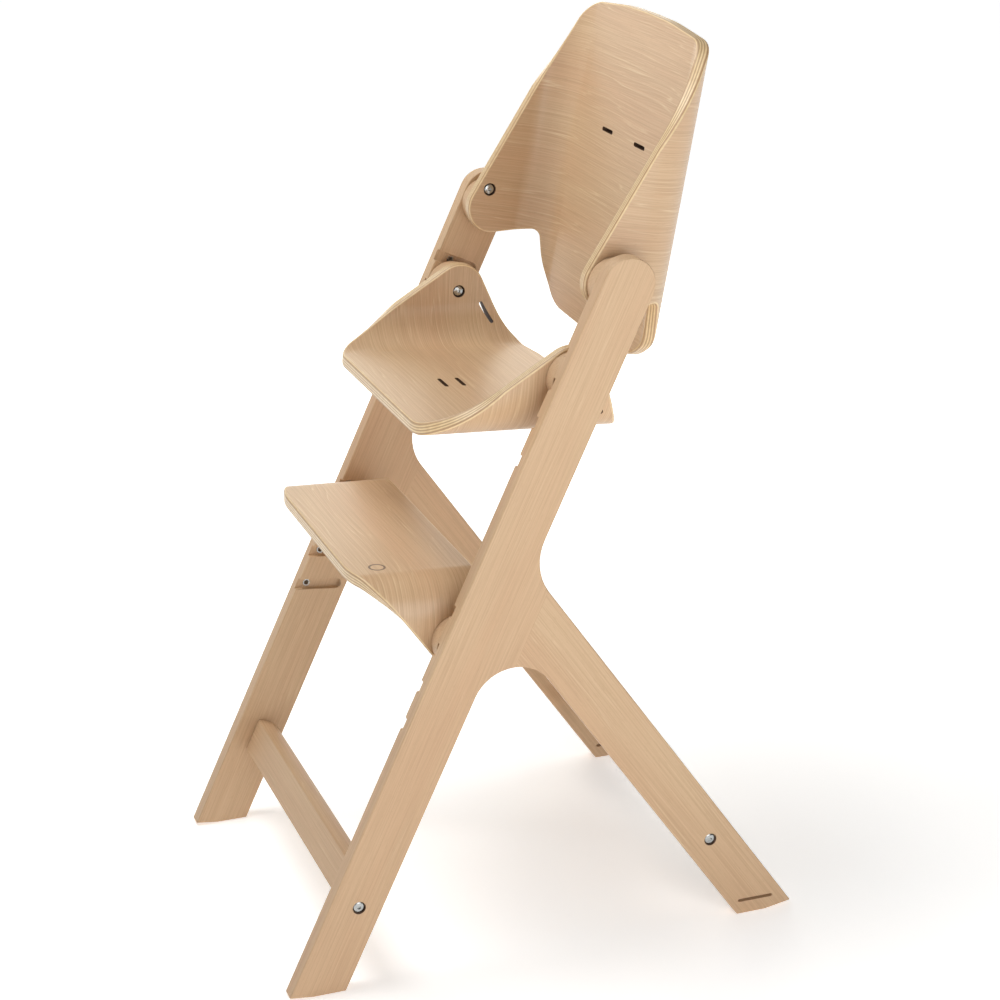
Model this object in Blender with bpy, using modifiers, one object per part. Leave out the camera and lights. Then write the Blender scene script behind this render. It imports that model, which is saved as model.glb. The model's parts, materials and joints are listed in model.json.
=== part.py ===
"""Wooden baby high chair: two side frames of solid beech, joined by two crossbars, carry three
shells of bent plywood (backrest, seat and footrest) on round wooden discs.

Metres, +Z up, origin on the floor at the middle of the base. The chair faces -Y, and +X is the
side on a seated child's left. Side shapes are drawn in (y, z). Places on a leg are given as
(s, w): s runs up along the leg's centre line, w runs square to it towards the back.
"""
import math

import bmesh
import bpy
from mathutils import Matrix, Vector

# ---- driving dimensions --------------------------------------------------------------------
HALF_WIDTH = 0.230            # middle of the chair to the outer face of a side frame
LEG_THICKNESS = 0.020
LEG_WIDTH = 0.060
BASE_DEPTH = 0.6156           # front toe to rear heel
TOP_HEIGHT = 0.782            # centre of the front leg's round top, above the floor
FRONT_LEAN = math.radians(25)  # front leg leans back
REAR_LEAN = math.radians(35)   # rear leg leans forward
TOE_RELIEF = 0.0034           # the toe and the heel are lifted clear of the floor
TOE_LENGTH = 0.027
HEEL_RELIEF = 0.0058
HEEL_LENGTH = 0.036
CROTCH_RADIUS = 0.062         # fillet above the place where the two legs join
ARCH_RADIUS = 0.050           # fillet below it
LEG_EDGE = 0.0016             # rounding of the legs' long edges
SEAM_W = 0.0590               # the glued seam between the two legs, behind the front leg's centre line

PLY = 0.014                   # thickness of every plywood shell
WING_INNER = 0.176            # middle of the chair to the inner face of a shell's wing
GAP = 0.0003                  # between pieces that touch

DISC_RADIUS = 0.0295
SEAT_DISC_S = -0.1177         # the discs' centres along the front leg, from its round top
FOOT_DISC_S = -0.4334
PIVOT_S = -0.0080

GROOVE_HEIGHT = 0.0135
GROOVE_DEPTH = 0.0065
GROOVE_END = 0.0174           # centre of the groove's round end behind the leg's centre line
GROOVE_FALL = math.radians(5.5)   # the grooves drop a little towards the back
SEAT_GROOVES = [SEAT_DISC_S, SEAT_DISC_S - 0.0452, SEAT_DISC_S - 0.0902]
FOOT_GROOVES = [FOOT_DISC_S + 0.0456 * step for step in (1, 0, -1, -2)]
TOP_GROOVE_S = -0.0897        # the steep groove above the seat's three
LOCK_AHEAD = 0.019            # lock screw ahead of the disc's centre, along the groove
TOP_LOCK_AHEAD = 0.0095

BAR_S = -0.739                # front crossbar's centre along the front leg
BAR_W = 0.003
BAR_HALF_HEIGHT = 0.0227
BAR_HALF_DEPTH = 0.0275
BAR_FLAT = 0.011              # flat front face, ahead of the section's centre
BAR_BOLT_DROP = 0.010         # the bolt sits below the section's centre
REAR_BOLT_HEIGHT = 0.1067     # rear crossbar's bolt above the floor
BOLT_REACH = 0.055            # bar bolt's length under the head
BARREL_INSET = 0.028          # barrel nut's axis from the end of the crossbar

HEEL_SLOT_HEIGHT = 0.0038
HEEL_SLOT_LENGTH = 0.045
HEEL_SLOT_Z = 0.018

M6 = 0.003                    # bolt radii
M5 = 0.0025
M8 = 0.004
CLEAR = 0.0003                # radial room round a bolt in its hole
HEAD_RADIUS = 0.0070
HEAD_HEIGHT = 0.0036
RECESS_RADIUS = 0.0076
RECESS_DEPTH = 0.0040
INSERT_WALL = 0.0017          # threaded insert's wall
SMALL_HEAD = 0.0045
SMALL_HEAD_HEIGHT = 0.0040

INNER = HALF_WIDTH - LEG_THICKNESS      # inner face of a side frame
WING_OUTER = WING_INNER + PLY           # outer face of a wing
ROUND = 16                              # sides of a small round piece

# ---- points and directions in the side view --------------------------------------------------
FRONT_UP = Vector((math.sin(FRONT_LEAN), math.cos(FRONT_LEAN)))
FRONT_BACK = Vector((math.cos(FRONT_LEAN), -math.sin(FRONT_LEAN)))
REAR_UP = Vector((-math.sin(REAR_LEAN), math.cos(REAR_LEAN)))
REAR_BACK = Vector((math.cos(REAR_LEAN), math.sin(REAR_LEAN)))
TOE = Vector((-BASE_DEPTH / 2, TOE_RELIEF))
HEEL = Vector((BASE_DEPTH / 2, HEEL_RELIEF))
TOP = TOE + FRONT_BACK * (LEG_WIDTH / 2)
TOP = TOP + FRONT_UP * ((TOP_HEIGHT - TOP.y) / FRONT_UP.y)


def on_front(s, w=0.0):
    """A side-view point given by its place on the front leg."""
    return TOP + FRONT_UP * s + FRONT_BACK * w


def crossing(point_a, along_a, point_b, along_b):
    """Where two side-view lines cross."""
    cross = along_a.x * along_b.y - along_a.y * along_b.x
    away = point_b - point_a
    return point_a + along_a * ((away.x * along_b.y - away.y * along_b.x) / cross)


def at_height(point, along, height):
    return point + along * ((height - point.y) / along.y)


def rounded(corners, steps=6):
    """Closed outline through (point, radius) corners, each rounded by an arc of that radius."""
    outline = []
    count = len(corners)
    for index, (point, radius) in enumerate(corners):
        point = Vector(point)
        if not radius:
            outline.append(point)
            continue
        before = (Vector(corners[index - 1][0]) - point).normalized()
        after = (Vector(corners[(index + 1) % count][0]) - point).normalized()
        half = before.angle(after) / 2
        centre = point + (before + after).normalized() * (radius / math.sin(half))
        start = point + before * (radius / math.tan(half)) - centre
        end = point + after * (radius / math.tan(half)) - centre
        turn = start.angle_signed(end)
        for step in range(steps + 1):
            angle = -turn * step / steps
            outline.append(centre + Matrix.Rotation(angle, 2) @ start)
    return outline


def pill(centre_a, centre_b, radius, steps=6):
    """Outline of a slot with round ends about two centres."""
    centre_a = Vector(centre_a)
    centre_b = Vector(centre_b)
    along = (centre_b - centre_a).normalized()
    outline = []
    for centre, first in ((centre_b, -math.pi / 2), (centre_a, math.pi / 2)):
        for step in range(steps + 1):
            turn = Matrix.Rotation(first + math.pi * step / steps, 2)
            outline.append(centre + turn @ along * radius)
    return outline


# ---- scene, collections and materials ------------------------------------------------------
for old in list(bpy.data.objects):
    bpy.data.objects.remove(old, do_unlink=True)

parts = bpy.data.collections.new("baby_high_chair")
cutters = bpy.data.collections.new("cutters")
bpy.context.scene.collection.children.link(parts)
bpy.context.scene.collection.children.link(cutters)


def material(name, colour, roughness, metallic=0.0):
    made = bpy.data.materials.new(name)
    made.use_nodes = True
    shader = made.node_tree.nodes["Principled BSDF"]
    shader.inputs["Base Color"].default_value = (*colour, 1.0)
    shader.inputs["Roughness"].default_value = roughness
    shader.inputs["Metallic"].default_value = metallic
    return made


BEECH = ("beech", (0.62, 0.42, 0.27), 0.45)
PLYWOOD = ("beech_plywood", (0.60, 0.41, 0.27), 0.45)
STEEL = ("bright_steel", (0.62, 0.62, 0.60), 0.28, 1.0)
BRASS = ("zinc_insert", (0.50, 0.50, 0.48), 0.40, 1.0)


def own_material(piece, look):
    piece.data.materials.clear()
    piece.data.materials.append(material(piece.name + "_" + look[0], *look[1:]))


# ---- modelling helpers -------------------------------------------------------------------------
SIDE_VIEW = Matrix(((0, 0, 1, 0), (1, 0, 0, 0), (0, 1, 0, 0), (0, 0, 0, 1)))


def add(name, mesh, collection):
    piece = bpy.data.objects.new(name, mesh)
    collection.objects.link(piece)
    if collection is cutters:
        piece.hide_render = True
        piece.display_type = "WIRE"
    return piece


def prism(name, outline, low, high, collection, place=SIDE_VIEW):
    """A flat outline given a thickness from low to high, standing in the side view by default."""
    curve = bpy.data.curves.new(name, "CURVE")
    curve.dimensions = "2D"
    curve.fill_mode = "BOTH"
    curve.extrude = (high - low) / 2
    spline = curve.splines.new("POLY")
    spline.points.add(len(outline) - 1)
    for point, corner in zip(spline.points, outline):
        point.co = (corner[0], corner[1], 0.0, 1.0)
    spline.use_cyclic_u = True
    drawn = bpy.data.objects.new(name + "_outline", curve)
    cutters.objects.link(drawn)
    bpy.context.view_layer.update()
    graph = bpy.context.evaluated_depsgraph_get()
    mesh = bpy.data.meshes.new_from_object(drawn.evaluated_get(graph))
    bpy.data.objects.remove(drawn, do_unlink=True)
    bpy.data.curves.remove(curve)
    mesh.transform(place @ Matrix.Translation((0, 0, (high + low) / 2)))
    weld(mesh)
    merge_flat(mesh)
    mesh.name = name
    return add(name, mesh, collection)


def weld(mesh):
    shape = bmesh.new()
    shape.from_mesh(mesh)
    bmesh.ops.remove_doubles(shape, verts=shape.verts, dist=1e-6)
    bmesh.ops.recalc_face_normals(shape, faces=shape.faces)
    shape.to_mesh(mesh)
    shape.free()


def merge_flat(mesh):
    """Joins faces that lie in one plane."""
    shape = bmesh.new()
    shape.from_mesh(mesh)
    bmesh.ops.dissolve_limit(shape, angle_limit=math.radians(0.1), verts=shape.verts,
                             edges=shape.edges)
    shape.to_mesh(mesh)
    shape.free()


def rod(name, radius, start, end, collection, sides=ROUND):
    """A cylinder between two points."""
    start = Vector(start)
    end = Vector(end)
    shape = bmesh.new()
    bmesh.ops.create_cone(shape, cap_ends=True, segments=sides, radius1=radius, radius2=radius,
                          depth=(end - start).length)
    mesh = bpy.data.meshes.new(name)
    shape.to_mesh(mesh)
    shape.free()
    turn = (end - start).to_track_quat("Z", "Y").to_matrix().to_4x4()
    mesh.transform(Matrix.Translation((start + end) / 2) @ turn)
    return add(name, mesh, collection)


def turned(name, profile, start, direction, sides=ROUND):
    """A turned piece: (radius, distance) points spun about the line from start along direction."""
    mesh = bpy.data.meshes.new(name)
    points = [(radius, 0.0, distance) for radius, distance in profile]
    mesh.from_pydata(points, [(i, i + 1) for i in range(len(points) - 1)], [])
    piece = add(name, mesh, parts)
    spin = piece.modifiers.new("spin", "SCREW")
    spin.steps = sides
    spin.render_steps = sides
    spin.use_merge_vertices = True
    spin.merge_threshold = 0.00001
    turn = Vector(direction).to_track_quat("Z", "Y").to_matrix().to_4x4()
    flatten(piece)
    piece.data.transform(Matrix.Translation(start) @ turn)
    weld(piece.data)
    return piece


def boolean(piece, other, operation):
    step = piece.modifiers.new(operation.lower(), "BOOLEAN")
    step.operation = operation
    step.solver = "EXACT"
    step.object = other


def flatten(piece):
    """Keeps the piece's evaluated mesh and drops its modifiers."""
    bpy.context.view_layer.update()
    graph = bpy.context.evaluated_depsgraph_get()
    mesh = bpy.data.meshes.new_from_object(piece.evaluated_get(graph))
    piece.modifiers.clear()
    piece.data = mesh


def cut(piece, tools):
    for tool in tools:
        boolean(piece, tool, "DIFFERENCE")
    flatten(piece)


def finish(piece, look, smooth_below=32):
    weld(piece.data)
    own_material(piece, look)
    for face in piece.data.polygons:
        face.use_smooth = True
    piece.data.set_sharp_from_angle(angle=math.radians(smooth_below))
    return piece


def across(side, depth, point):
    """A world point at a distance from the chair's middle on one side."""
    return Vector((side * depth, point[0], point[1]))


def span(side, near, far):
    """Low and high x of a stretch measured outwards from the chair's middle."""
    return (near, far) if side > 0 else (-far, -near)


# ---- grooves -----------------------------------------------------------------------------------
def groove_axis(s, fall=GROOVE_FALL):
    """Centre of a groove on the leg's centre line, and its direction towards the back."""
    return on_front(s), Vector((math.cos(fall), -math.sin(fall)))


GROOVES = [("seat_groove_%d" % n, s, GROOVE_FALL, LOCK_AHEAD) for n, s in enumerate(SEAT_GROOVES, 1)]
GROOVES += [("foot_groove_%d" % n, s, GROOVE_FALL, LOCK_AHEAD) for n, s in enumerate(FOOT_GROOVES, 1)]
GROOVES += [("top_groove", TOP_GROOVE_S, FRONT_LEAN, TOP_LOCK_AHEAD)]

INSERT_RADIUS = M5 + CLEAR + INSERT_WALL
INSERT_LENGTH = 0.0085


def cut_grooves(leg, side):
    tools = []
    for name, s, fall, ahead in GROOVES:
        centre, along = groove_axis(s, fall)
        low, high = span(side, INNER - 0.005, INNER + GROOVE_DEPTH)
        slot = pill(centre - along * 0.06, centre + along * GROOVE_END, GROOVE_HEIGHT / 2)
        tools.append(prism(leg.name + "_" + name, slot, low, high, cutters))
        spot = centre - along * ahead
        tools.append(rod(leg.name + "_" + name + "_hole", INSERT_RADIUS + GAP,
                         across(side, INNER + 0.004, spot),
                         across(side, INNER + GROOVE_DEPTH + INSERT_LENGTH + 2 * GAP, spot), cutters))
    cut(leg, tools)


def groove_inserts(side, word):
    for name, s, fall, ahead in GROOVES:
        centre, along = groove_axis(s, fall)
        floor = INNER + GROOVE_DEPTH + GAP
        insert = sleeve(name + "_insert_" + word, INSERT_RADIUS, M5 + CLEAR,
                        across(side, floor, centre - along * ahead), side, INSERT_LENGTH)
        finish(insert, BRASS)


def sleeve(name, outer, inner, start, side, length):
    """A threaded insert: a short tube whose mouth is at start."""
    profile = [(inner, 0), (outer, 0), (outer, length), (inner, length), (inner, 0)]
    return turned(name, profile, start, (side, 0, 0))


# ---- side frames ---------------------------------------------------------------------------------
def front_leg(side, word):
    half = LEG_WIDTH / 2
    front_floor = at_height(on_front(0, -half), FRONT_UP, TOE_RELIEF)
    back_floor = at_height(on_front(0, half), FRONT_UP, 0.0)
    outline = [front_floor, Vector((front_floor.x + TOE_LENGTH, 0.0)), back_floor]
    outline += fillet(*arch_corner(), half, SEAM_W)
    outline += reversed(fillet(*crotch_corner(), half, SEAM_W))
    top_steps = 16
    for step in range(top_steps + 1):
        angle = math.pi * step / top_steps
        outline.append(on_front(half * math.sin(angle), half * math.cos(angle)))
    low, high = span(side, INNER, HALF_WIDTH)
    leg = prism("front_leg_" + word, outline, low, high, parts)
    cut_grooves(leg, side)
    bolt = on_front(BAR_S - BAR_BOLT_DROP, BAR_W)
    pivot = on_front(PIVOT_S)
    tools = bolt_hole(leg.name, side, bolt)
    tools.append(rod(leg.name + "_pivot", M8 + CLEAR + INSERT_WALL + GAP,
                     across(side, INNER - 0.002, pivot), across(side, INNER + 0.015, pivot), cutters))
    cut(leg, tools)
    soften(leg, LEG_EDGE, on_front_rim)
    finish(leg, BEECH)


def rear_leg(side, word):
    lower = HEEL - REAR_BACK * LEG_WIDTH
    sole_front = at_height(lower, REAR_UP, 0.0)
    heel_sole = Vector((sole_front.x + HEEL_LENGTH, 0.0))
    outline = [sole_front, heel_sole, HEEL]
    outline += reversed(fillet(*crotch_corner(), SEAM_W + GAP, 1.0))
    outline += fillet(*arch_corner(), SEAM_W + GAP, 1.0)
    low, high = span(side, INNER, HALF_WIDTH)
    leg = prism("rear_leg_" + word, outline, low, high, parts)
    slot_start = Vector((sole_front.x + HEEL_SLOT_HEIGHT / 2, HEEL_SLOT_Z))
    slot_end = slot_start + Vector((HEEL_SLOT_LENGTH - HEEL_SLOT_HEIGHT, 0))
    reach = span(side, INNER - 0.01, HALF_WIDTH + 0.01)
    tools = bolt_hole(leg.name, side, rear_bolt())
    tools.append(prism(leg.name + "_heel_slot", pill(slot_start, slot_end, HEEL_SLOT_HEIGHT / 2, 4),
                       *reach, cutters))
    cut(leg, tools)
    soften(leg, LEG_EDGE, on_rear_rim)
    finish(leg, BEECH)


def crotch_corner():
    """Where the front leg's back edge would meet the rear leg's upper edge, and the fillet there."""
    corner = crossing(on_front(0, LEG_WIDTH / 2), FRONT_UP, HEEL, REAR_UP)
    return corner, FRONT_UP, -REAR_UP, CROTCH_RADIUS


def arch_corner():
    """Where the front leg's back edge would meet the rear leg's lower edge, and the fillet there."""
    lower = HEEL - REAR_BACK * LEG_WIDTH
    corner = crossing(on_front(0, LEG_WIDTH / 2), FRONT_UP, lower, REAR_UP)
    return corner, -FRONT_UP, -REAR_UP, ARCH_RADIUS


def fillet(corner, back_edge, rear_edge, radius, from_w, to_w, steps=8):
    """The part of a fillet between two distances behind the front leg's centre line."""
    half = back_edge.angle(rear_edge) / 2
    centre = corner + (back_edge + rear_edge).normalized() * (radius / math.sin(half))
    start = corner + back_edge * (radius / math.tan(half)) - centre
    turn = start.angle_signed(corner + rear_edge * (radius / math.tan(half)) - centre)
    ends = []
    for w in (from_w, to_w):
        inward = (LEG_WIDTH / 2 + radius - w) / radius
        angle = math.acos(max(-1.0, min(1.0, inward)))
        ends.append(math.copysign(min(angle, abs(turn)), turn))
    arc = []
    for step in range(steps + 1):
        angle = ends[0] + (ends[1] - ends[0]) * step / steps
        arc.append(centre + Matrix.Rotation(-angle, 2) @ start)
    return arc


def soften(piece, width, wanted=None):
    """Rounds the piece's sharp edges: all of them, or those whose middle is wanted."""
    shape = bmesh.new()
    shape.from_mesh(piece.data)
    chosen = []
    for edge in shape.edges:
        middle = (edge.verts[0].co + edge.verts[1].co) / 2
        if edge.calc_face_angle(0) > math.radians(50) and (wanted is None or wanted(middle)):
            chosen.append(edge)
    bmesh.ops.bevel(shape, geom=chosen, offset=width, segments=2, profile=0.5, affect="EDGES",
                    clamp_overlap=False)
    shape.to_mesh(piece.data)
    shape.free()


def on_front_rim(middle):
    """Whether a point is on the rim of a broad face of the front leg, away from the seam."""
    if abs(abs(middle.x) - (INNER + HALF_WIDTH) / 2) < LEG_THICKNESS / 2 - 1e-6:
        return False
    place = Vector(middle.yz) - TOP
    s, w = place.dot(FRONT_UP), place.dot(FRONT_BACK)
    on_seam = w > SEAM_W - 1e-5
    above = s > 0 and place.length > LEG_WIDTH / 2 * 0.98
    beside = s <= 0 and abs(w) > LEG_WIDTH / 2 - 1e-5
    return (above or beside or middle.z < TOE_RELIEF) and not on_seam


def on_rear_rim(middle):
    """Whether a point is on the rim of a broad face of the rear leg, away from the seam."""
    if abs(abs(middle.x) - (INNER + HALF_WIDTH) / 2) < LEG_THICKNESS / 2 - 1e-6:
        return False
    if (Vector(middle.yz) - TOP).dot(FRONT_BACK) < SEAM_W + GAP + 1e-5:
        return False
    bolt = Vector(middle.yz) - rear_bolt()
    in_slot = abs(middle.z - HEEL_SLOT_Z) < HEEL_SLOT_HEIGHT and abs(bolt.dot(REAR_BACK)) < 0.0299
    return bolt.length > 0.02 and not in_slot


def rear_bolt():
    """The rear crossbar's bolt, on the rear leg's centre line."""
    return at_height(HEEL - REAR_BACK * (LEG_WIDTH / 2), REAR_UP, REAR_BOLT_HEIGHT)


def bolt_hole(owner, side, point):
    """A recess for the head in the outer face and a hole right through the leg."""
    recess = rod(owner + "_recess", RECESS_RADIUS, across(side, HALF_WIDTH - RECESS_DEPTH, point),
                 across(side, HALF_WIDTH + 0.01, point), cutters, 24)
    hole = rod(owner + "_hole", M6 + CLEAR, across(side, INNER - 0.01, point),
               across(side, HALF_WIDTH, point), cutters)
    return [recess, hole]


# ---- crossbars -----------------------------------------------------------------------------------
def crossbar(name, bolt, up, back):
    """A bar with a flat front and a round back, drilled at both ends for its bolts and nuts."""
    centre = bolt + up * BAR_BOLT_DROP
    first = math.acos(-BAR_FLAT / BAR_HALF_DEPTH)
    steps = 16
    outline = []
    for step in range(steps + 1):
        angle = first - 2 * first * step / steps
        outline.append(centre + back * (BAR_HALF_DEPTH * math.cos(angle))
                       + up * (BAR_HALF_HEIGHT * math.sin(angle)))
    end = INNER - GAP
    bar = prism(name, outline, -end, end, parts)
    soften(bar, 0.0012)
    nut_x = end - BARREL_INSET
    tools = []
    for side, word in ((-1, "right"), (1, "left")):
        tools.append(rod(name + "_bore_" + word, M6 + CLEAR, across(side, end - 0.048, bolt),
                         across(side, end + 0.01, bolt), cutters))
        tools.append(rod(name + "_nut_bore_" + word, 0.0050 + GAP,
                         across(side, nut_x, bolt - back * 0.0075),
                         across(side, nut_x, bolt + back * 0.05), cutters))
    cut(bar, tools)
    finish(bar, BEECH)
    barrel_nut(name + "_nut_right", -1, nut_x, bolt, back)
    button_bolt(name + "_bolt_right", across(-1, HALF_WIDTH - 0.0002, bolt), 1, BOLT_REACH)


def barrel_nut(name, side, nut_x, bolt, back):
    nut = rod(name, 0.0050, across(side, nut_x, bolt - back * 0.007),
              across(side, nut_x, bolt + back * 0.007), parts)
    cut(nut, [rod(name + "_thread", M6 + GAP, across(side, nut_x - 0.01, bolt),
                  across(side, nut_x + 0.01, bolt), cutters)])
    finish(nut, STEEL)


# ---- bolts and screws ----------------------------------------------------------------------------
def button_bolt(name, top, direction, reach, radius=M6):
    """A domed bolt with a round socket: top is the crown of its head."""
    socket = 0.0022
    profile = [(0, 0.0018), (socket, 0.0018), (socket, 0.0003), (0.0042, 0.0006),
               (0.0060, 0.0014), (HEAD_RADIUS, 0.0026), (HEAD_RADIUS, HEAD_HEIGHT),
               (radius, HEAD_HEIGHT), (radius, HEAD_HEIGHT + reach), (0, HEAD_HEIGHT + reach)]
    finish(turned(name, profile, top, (direction, 0, 0)), STEEL)


def socket_screw(name, top, direction, reach, radius, head_radius):
    """A cylinder-head screw that stays hidden in a counterbore."""
    profile = [(0, 0), (head_radius, 0), (head_radius, SMALL_HEAD_HEIGHT), (radius, SMALL_HEAD_HEIGHT),
               (radius, SMALL_HEAD_HEIGHT + reach), (0, SMALL_HEAD_HEIGHT + reach)]
    finish(turned(name, profile, top, (direction, 0, 0)), STEEL)


# ---- discs between the shells and the side frames --------------------------------------------------
DISC_NEAR = WING_OUTER + GAP
DISC_FAR = INNER - GAP
WING_INSERT_RADIUS = M6 + CLEAR + INSERT_WALL
WING_INSERT_LENGTH = 0.012
COUNTERBORE_DEPTH = 0.0045


def wing_fixing(prefix, word, side, point):
    """The bolt through a wing and the threaded insert that it finds in the disc."""
    insert = sleeve(prefix + "_disc_insert_" + word, WING_INSERT_RADIUS, M6 + CLEAR,
                    across(side, DISC_NEAR + GAP, point), side, WING_INSERT_LENGTH)
    finish(insert, BRASS)
    button_bolt(prefix + "_bolt_" + word, across(side, WING_INNER + 0.0002, point), side, 0.0225)


def plain_disc(name, side, centre, bolt):
    """A disc with a blind hole for the wing bolt's insert."""
    disc = rod(name, DISC_RADIUS, across(side, DISC_NEAR, centre), across(side, DISC_FAR, centre),
               parts, 48)
    hole = rod(name + "_insert_hole", WING_INSERT_RADIUS + GAP, across(side, DISC_NEAR - 0.002, bolt),
               across(side, DISC_NEAR + WING_INSERT_LENGTH + 0.003, bolt), cutters)
    return disc, [hole]


def groove_disc(prefix, word, side, s):
    """A disc whose tongue fills a groove of the leg, held there by a lock screw."""
    centre, along = groove_axis(s)
    name = prefix + "_disc_" + word
    disc, tools = plain_disc(name, side, centre, centre)
    tongue = pill(centre - along * 0.0205, centre + along * GROOVE_END,
                  GROOVE_HEIGHT / 2 - GAP)
    low, high = span(side, DISC_FAR - 0.002, INNER + GROOVE_DEPTH - GAP)
    boolean(disc, prism(name + "_tongue", tongue, low, high, cutters), "UNION")
    flatten(disc)
    spot = centre - along * LOCK_AHEAD
    tools.append(rod(name + "_lock_hole", M5 + CLEAR, across(side, DISC_NEAR - 0.01, spot),
                     across(side, HALF_WIDTH, spot), cutters))
    tools.append(rod(name + "_lock_head", SMALL_HEAD + GAP, across(side, DISC_NEAR - 0.01, spot),
                     across(side, DISC_NEAR + COUNTERBORE_DEPTH, spot), cutters))
    cut(disc, tools)
    finish(disc, BEECH)
    head_top = DISC_NEAR + COUNTERBORE_DEPTH - SMALL_HEAD_HEIGHT - GAP
    tip = INNER + GROOVE_DEPTH + INSERT_LENGTH
    socket_screw(prefix + "_lock_screw_" + word, across(side, head_top, spot), side,
                 tip - head_top - SMALL_HEAD_HEIGHT, M5, SMALL_HEAD)
    wing_fixing(prefix, word, side, centre)


BACK_LEAN = math.radians(10.3)
BACK_UP = Vector((math.sin(BACK_LEAN), math.cos(BACK_LEAN)))
BACK_FORWARD = Vector((-math.cos(BACK_LEAN), math.sin(BACK_LEAN)))
BACK_BOLT = Vector((0.0208, 0.0100))      # wing bolt from the pivot: up along the back, and forward


def back_bolt():
    return on_front(PIVOT_S) + BACK_UP * BACK_BOLT.x + BACK_FORWARD * BACK_BOLT.y


def pivot_disc(word, side):
    """The backrest's disc, which turns on a screw in the top of the front leg."""
    centre = on_front(PIVOT_S)
    name = "backrest_disc_" + word
    disc, tools = plain_disc(name, side, centre, back_bolt())
    tools.append(rod(name + "_pivot_hole", M8 + GAP, across(side, DISC_NEAR - 0.01, centre),
                     across(side, HALF_WIDTH, centre), cutters))
    tools.append(rod(name + "_pivot_head", HEAD_RADIUS + GAP, across(side, DISC_NEAR - 0.01, centre),
                     across(side, DISC_NEAR + COUNTERBORE_DEPTH, centre), cutters, 24))
    cut(disc, tools)
    finish(disc, BEECH)
    head_top = DISC_NEAR + COUNTERBORE_DEPTH - SMALL_HEAD_HEIGHT - GAP
    socket_screw("pivot_screw_" + word, across(side, head_top, centre), side, 0.028, M8, HEAD_RADIUS)
    insert = sleeve("pivot_insert_" + word, M8 + CLEAR + INSERT_WALL, M8 + CLEAR,
                    across(side, INNER + GAP, centre), side, 0.0135)
    finish(insert, BRASS)
    wing_fixing("backrest", word, side, back_bolt())


# ---- bent plywood shells -----------------------------------------------------------------------
# A shell is drawn flat as (h, l): h runs along the shell's straight direction from the disc's
# centre, l runs across it, over the bends and up the wings. The flat sheet is then bent.
class Bend:
    def __init__(self, inner_radius, outline_on_outer_face, disc_l):
        self.inner = inner_radius
        self.flat = WING_INNER - inner_radius
        self.drawn = inner_radius + (PLY if outline_on_outer_face else 0.0)
        self.wing_start = self.flat + self.drawn * math.pi / 2
        self.disc_k = self.inner + disc_l - self.wing_start
        steps = 8
        self.columns = [0.0] + [self.flat + self.drawn * math.pi / 2 * step / steps
                                for step in range(steps + 1)] + [self.wing_start + 0.2]

    def exact(self, across_sheet, depth):
        """X and height over the plate's inner face, at a depth into the sheet."""
        reach = abs(across_sheet)
        radius = self.inner + depth
        if reach <= self.flat:
            x, k = reach, -depth
        elif reach < self.wing_start:
            angle = (reach - self.flat) / self.drawn
            x = self.flat + radius * math.sin(angle)
            k = self.inner - radius * math.cos(angle)
        else:
            x, k = self.flat + radius, self.inner + reach - self.wing_start
        return math.copysign(x, across_sheet), k

    def place(self, across_sheet, depth):
        """As exact, but straight between the columns, so that every facet stays flat."""
        reach = min(abs(across_sheet), self.columns[-1])
        for left, right in zip(self.columns, self.columns[1:]):
            if reach <= right:
                break
        share = (reach - left) / (right - left)
        x_left, k_left = self.exact(left, depth)
        x_right, k_right = self.exact(right, depth)
        x = x_left + (x_right - x_left) * share
        return math.copysign(x, across_sheet), k_left + (k_right - k_left) * share


def shell(name, half_outline, cutouts, bend, disc, along, wings):
    """Cuts a flat sheet to its outline, cuts the holes, then bends it into a shell."""
    mirrored = [((h, -l), radius) for (h, l), radius in reversed(half_outline) if l > 0]
    outline = rounded(half_outline + mirrored)
    sheet = prism(name, outline, 0.0, PLY, parts, Matrix.Identity(4))
    tools = []
    for index, (hole, low, high) in enumerate(cutouts):
        tools.append(prism("%s_cutout_%d" % (name, index), hole, low, high, cutters,
                           Matrix.Identity(4)))
    cut(sheet, tools)
    sheet_shape = bmesh.new()
    sheet_shape.from_mesh(sheet.data)
    for column in bend.columns[1:-1]:
        for edge in (column, -column):
            everything = sheet_shape.verts[:] + sheet_shape.edges[:] + sheet_shape.faces[:]
            bmesh.ops.bisect_plane(sheet_shape, geom=everything, dist=1e-7,
                                   plane_co=(0, edge, 0), plane_no=(0, 1, 0))
    bmesh.ops.triangulate(sheet_shape, faces=sheet_shape.faces)
    for vert in sheet_shape.verts:
        h, across_sheet, depth = vert.co
        x, k = bend.place(across_sheet, depth)
        side_view = disc + along * h + wings * (k - bend.disc_k)
        vert.co = (x, side_view.x, side_view.y)
    bmesh.ops.recalc_face_normals(sheet_shape, faces=sheet_shape.faces)
    sheet_shape.to_mesh(sheet.data)
    sheet_shape.free()
    finish(sheet, PLYWOOD)


def wing_holes(h, l):
    """A recess for the bolt's head in the inner face, and the bolt's hole, in both wings."""
    holes = []
    for place in (l, -l):
        holes.append((circle(h, place, RECESS_RADIUS, 24), -0.01, RECESS_DEPTH))
        holes.append((circle(h, place, M6 + CLEAR, ROUND), -0.01, PLY + 0.01))
    return holes


def circle(h, l, radius, sides):
    return [Vector((h + radius * math.cos(2 * math.pi * n / sides),
                    l + radius * math.sin(2 * math.pi * n / sides))) for n in range(sides)]


def slot(start, end, width):
    radius = width / 2
    toward = (Vector(end) - Vector(start)).normalized() * radius
    return (pill(Vector(start) + toward, Vector(end) - toward, radius, 4), -0.01, PLY + 0.01)


STRAP_SLOT = 0.0048


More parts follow.
